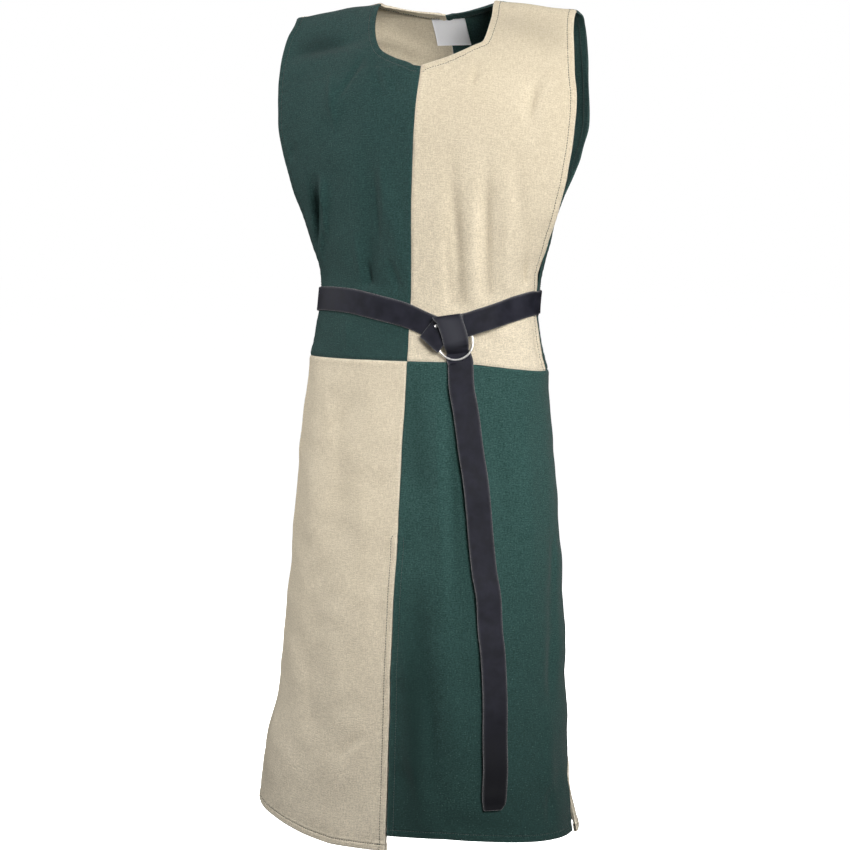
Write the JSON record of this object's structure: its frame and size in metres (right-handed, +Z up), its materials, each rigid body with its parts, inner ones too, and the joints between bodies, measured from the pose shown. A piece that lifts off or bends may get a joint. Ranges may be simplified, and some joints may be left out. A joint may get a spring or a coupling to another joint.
{
  "type": "tabard",
  "caption": "Sleeveless quartered tabard filled out with no wearer, with open neck, deep armholes, centre and side slits and a ring belt tied at the waist.",
  "frame": {"origin": "on the shoulder line, midway between the two neck points, where the wearer's shoulders hold it", "axes": "+Z up the garment, the front faces -Y, +X is the wearer's left"},
  "size_m": [0.4805, 0.302, 1.1683],
  "materials": {
    "cloth_green": "matt cotton canvas, dark green",
    "cloth_natural": "matt cotton canvas, undyed",
    "label_tape": "woven tape, pale grey",
    "belt_leather": "smooth dark leather, matt",
    "ring_steel": "bright nickel plated steel"
  },
  "bodies": {
    "root": {"front_upper_right": "cloth_green", "front_upper_left": "cloth_natural", "front_lower_right": "cloth_natural", "front_lower_left": "cloth_green", "back_upper_right": "cloth_natural", "back_upper_left": "cloth_green", "back_lower_right": "cloth_green", "back_lower_left": "cloth_natural", "neck_label": "label_tape", "belt_waist": "belt_leather", "belt_flap": "belt_leather", "belt_tail": "belt_leather", "belt_ring": "ring_steel", "belt_rivet": "ring_steel"}
  },
  "joints": []
}
